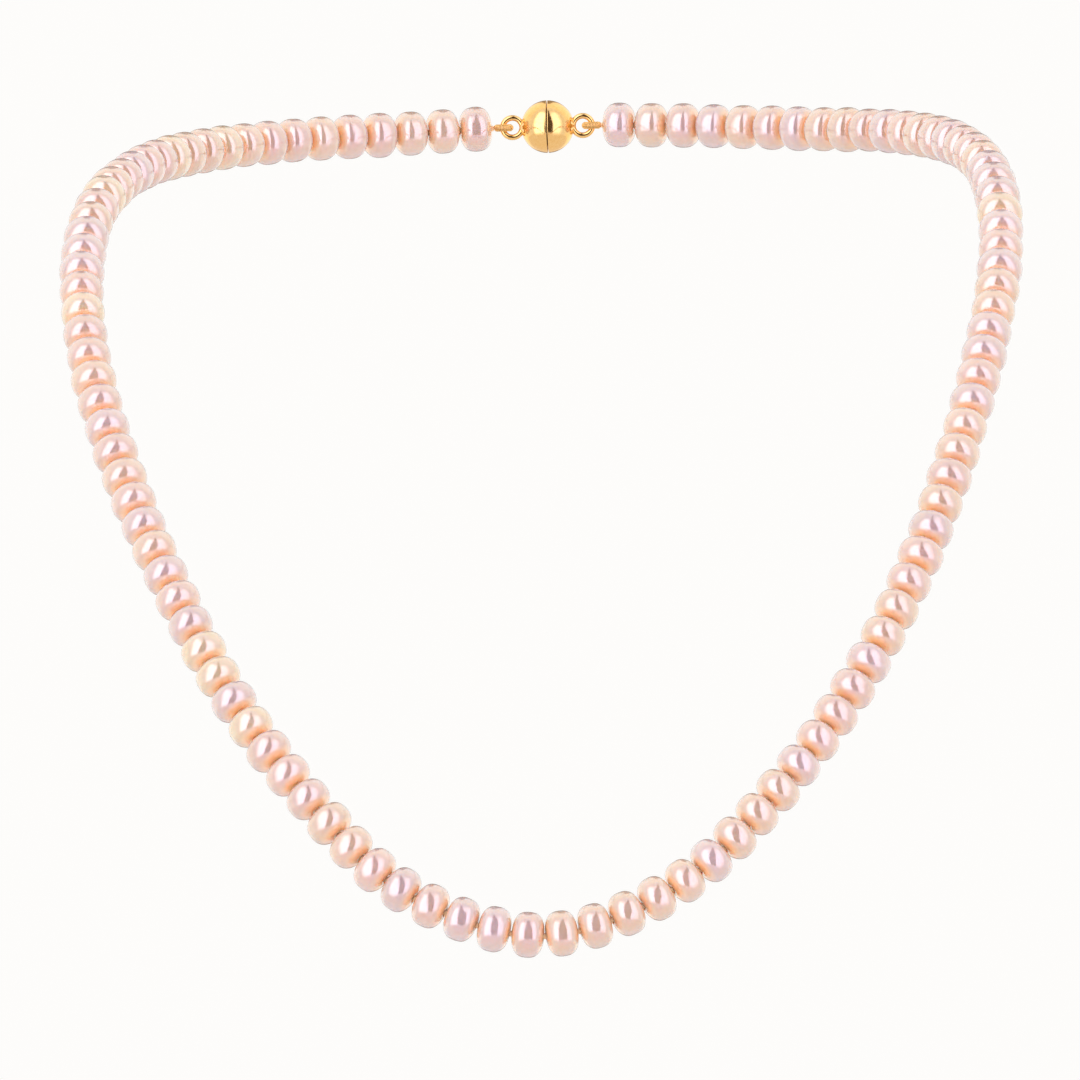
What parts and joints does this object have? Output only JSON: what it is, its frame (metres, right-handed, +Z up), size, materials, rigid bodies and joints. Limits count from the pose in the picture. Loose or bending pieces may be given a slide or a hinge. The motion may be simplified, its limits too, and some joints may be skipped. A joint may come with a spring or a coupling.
{
  "type": "pearl necklace",
  "caption": "Single strand of knotted button pearls draped as on a neck, with a magnetic ball clasp at the nape that opens.",
  "frame": {"origin": "centre of the neck opening, on the neck's axis at the height of the nape", "axes": "+Z up along the neck, the wearer faces -Y, +X towards the wearer's left arm, which is on the right seen from the front"},
  "size_m": [0.1175, 0.1392, 0.1047],
  "materials": {
    "pearl": "lustrous nacre, peach pink with a lavender overtone",
    "silk": "twisted silk thread",
    "bullion": "fine gold-toned coiled wire",
    "gold": "polished gold plate",
    "magnet": "nickel-plated neodymium disc"
  },
  "bodies": {
    "front": {"pearls_front": "pearl", "thread_front": "silk"},
    "left_01": {"pearls_left_01": "pearl", "thread_left_01": "silk"},
    "left_02": {"pearls_left_02": "pearl", "thread_left_02": "silk"},
    "left_03": {"pearls_left_03": "pearl", "thread_left_03": "silk"},
    "left_04": {"pearls_left_04": "pearl", "thread_left_04": "silk"},
    "left_05": {"pearls_left_05": "pearl", "thread_left_05": "silk"},
    "left_06": {"pearls_left_06": "pearl", "thread_left_06": "silk"},
    "left_07": {"pearls_left_07": "pearl", "thread_left_07": "silk"},
    "left_08": {"pearls_left_08": "pearl", "thread_left_08": "silk"},
    "left_09": {"pearls_left_09": "pearl", "thread_left_09": "silk"},
    "left_10": {"pearls_left_10": "pearl", "thread_left_10": "silk", "bullion_left": "bullion", "plug_loop": "gold", "clasp_plug": "gold", "plug_magnet": "magnet"},
    "right_01": {"pearls_right_01": "pearl", "thread_right_01": "silk"},
    "right_02": {"pearls_right_02": "pearl", "thread_right_02": "silk"},
    "right_03": {"pearls_right_03": "pearl", "thread_right_03": "silk"},
    "right_04": {"pearls_right_04": "pearl", "thread_right_04": "silk"},
    "right_05": {"pearls_right_05": "pearl", "thread_right_05": "silk"},
    "right_06": {"pearls_right_06": "pearl", "thread_right_06": "silk"},
    "right_07": {"pearls_right_07": "pearl", "thread_right_07": "silk"},
    "right_08": {"pearls_right_08": "pearl", "thread_right_08": "silk"},
    "right_09": {"pearls_right_09": "pearl", "thread_right_09": "silk"},
    "right_10": {"pearls_right_10": "pearl", "thread_right_10": "silk", "bullion_right": "bullion", "cup_loop": "gold", "clasp_cup": "gold", "cup_magnet": "magnet"}
  },
  "joints": [
    {"name": "left_knot_01", "type": "hinge", "parent": "front", "child": "left_01", "pos_m": [-0.01563, -0.06484, -0.09342], "axis": [0, 0, 1], "range_deg": [0, 12]},
    {"name": "left_knot_02", "type": "hinge", "parent": "left_01", "child": "left_02", "pos_m": [-0.02982, -0.05835, -0.08004], "axis": [0, 0, 1], "range_deg": [0, 12]},
    {"name": "left_knot_03", "type": "hinge", "parent": "left_02", "child": "left_03", "pos_m": [-0.04041, -0.0486, -0.06522], "axis": [0, 0, 1], "range_deg": [0, 12]},
    {"name": "left_knot_04", "type": "hinge", "parent": "left_03", "child": "left_04", "pos_m": [-0.04798, -0.03674, -0.05006], "axis": [0, 0, 1], "range_deg": [0, 12]},
    {"name": "left_knot_05", "type": "hinge", "parent": "left_04", "child": "left_05", "pos_m": [-0.05364, -0.02347, -0.03523], "axis": [0, 0, 1], "range_deg": [0, 12]},
    {"name": "left_knot_06", "type": "hinge", "parent": "left_05", "child": "left_06", "pos_m": [-0.05641, -0.00851, -0.02126], "axis": [0, 0, 1], "range_deg": [0, 12]},
    {"name": "left_knot_07", "type": "hinge", "parent": "left_06", "child": "left_07", "pos_m": [-0.05519, 0.00906, -0.01055], "axis": [0, 0, 1], "range_deg": [0, 12]},
    {"name": "left_knot_08", "type": "hinge", "parent": "left_07", "child": "left_08", "pos_m": [-0.04996, 0.02816, -0.00474], "axis": [0, 0, 1], "range_deg": [0, 12]},
    {"name": "left_knot_09", "type": "hinge", "parent": "left_08", "child": "left_09", "pos_m": [-0.04098, 0.04652, -0.00206], "axis": [0, 0, 1], "range_deg": [0, 12]},
    {"name": "left_knot_10", "type": "hinge", "parent": "left_09", "child": "left_10", "pos_m": [-0.02597, 0.06046, -0.00053], "axis": [0, 0, 1], "range_deg": [0, 12]},
    {"name": "right_knot_01", "type": "hinge", "parent": "front", "child": "right_01", "pos_m": [0.01524, -0.06433, -0.09239], "axis": [0, 0, -1], "range_deg": [0, 12]},
    {"name": "right_knot_02", "type": "hinge", "parent": "right_01", "child": "right_02", "pos_m": [0.02939, -0.05785, -0.07891], "axis": [0, 0, -1], "range_deg": [0, 12]},
    {"name": "right_knot_03", "type": "hinge", "parent": "right_02", "child": "right_03", "pos_m": [0.04002, -0.04927, -0.0634], "axis": [0, 0, -1], "range_deg": [0, 12]},
    {"name": "right_knot_04", "type": "hinge", "parent": "right_03", "child": "right_04", "pos_m": [0.04736, -0.03841, -0.04742], "axis": [0, 0, -1], "range_deg": [0, 12]},
    {"name": "right_knot_05", "type": "hinge", "parent": "right_04", "child": "right_05", "pos_m": [0.05228, -0.02545, -0.03206], "axis": [0, 0, -1], "range_deg": [0, 12]},
    {"name": "right_knot_06", "type": "hinge", "parent": "right_05", "child": "right_06", "pos_m": [0.05526, -0.01021, -0.01843], "axis": [0, 0, -1], "range_deg": [0, 12]},
    {"name": "right_knot_07", "type": "hinge", "parent": "right_06", "child": "right_07", "pos_m": [0.0551, 0.00726, -0.00744], "axis": [0, 0, -1], "range_deg": [0, 12]},
    {"name": "right_knot_08", "type": "hinge", "parent": "right_07", "child": "right_08", "pos_m": [0.05082, 0.02656, -0.00166], "axis": [0, 0, -1], "range_deg": [0, 12]},
    {"name": "right_knot_09", "type": "hinge", "parent": "right_08", "child": "right_09", "pos_m": [0.04125, 0.04472, 0.00024], "axis": [0, 0, -1], "range_deg": [0, 12]},
    {"name": "right_knot_10", "type": "hinge", "parent": "right_09", "child": "right_10", "pos_m": [0.02634, 0.05889, 0.00074], "axis": [0, 0, -1], "range_deg": [0, 12]}
  ],
  "couplings": [
    {"joint": "left_knot_10", "follows": "left_knot_01", "ratio": 1},
    {"joint": "left_knot_09", "follows": "left_knot_02", "ratio": 1},
    {"joint": "left_knot_08", "follows": "left_knot_03", "ratio": 1},
    {"joint": "right_knot_10", "follows": "right_knot_01", "ratio": 1},
    {"joint": "right_knot_09", "follows": "right_knot_02", "ratio": 1},
    {"joint": "right_knot_08", "follows": "right_knot_03", "ratio": 1}
  ]
}
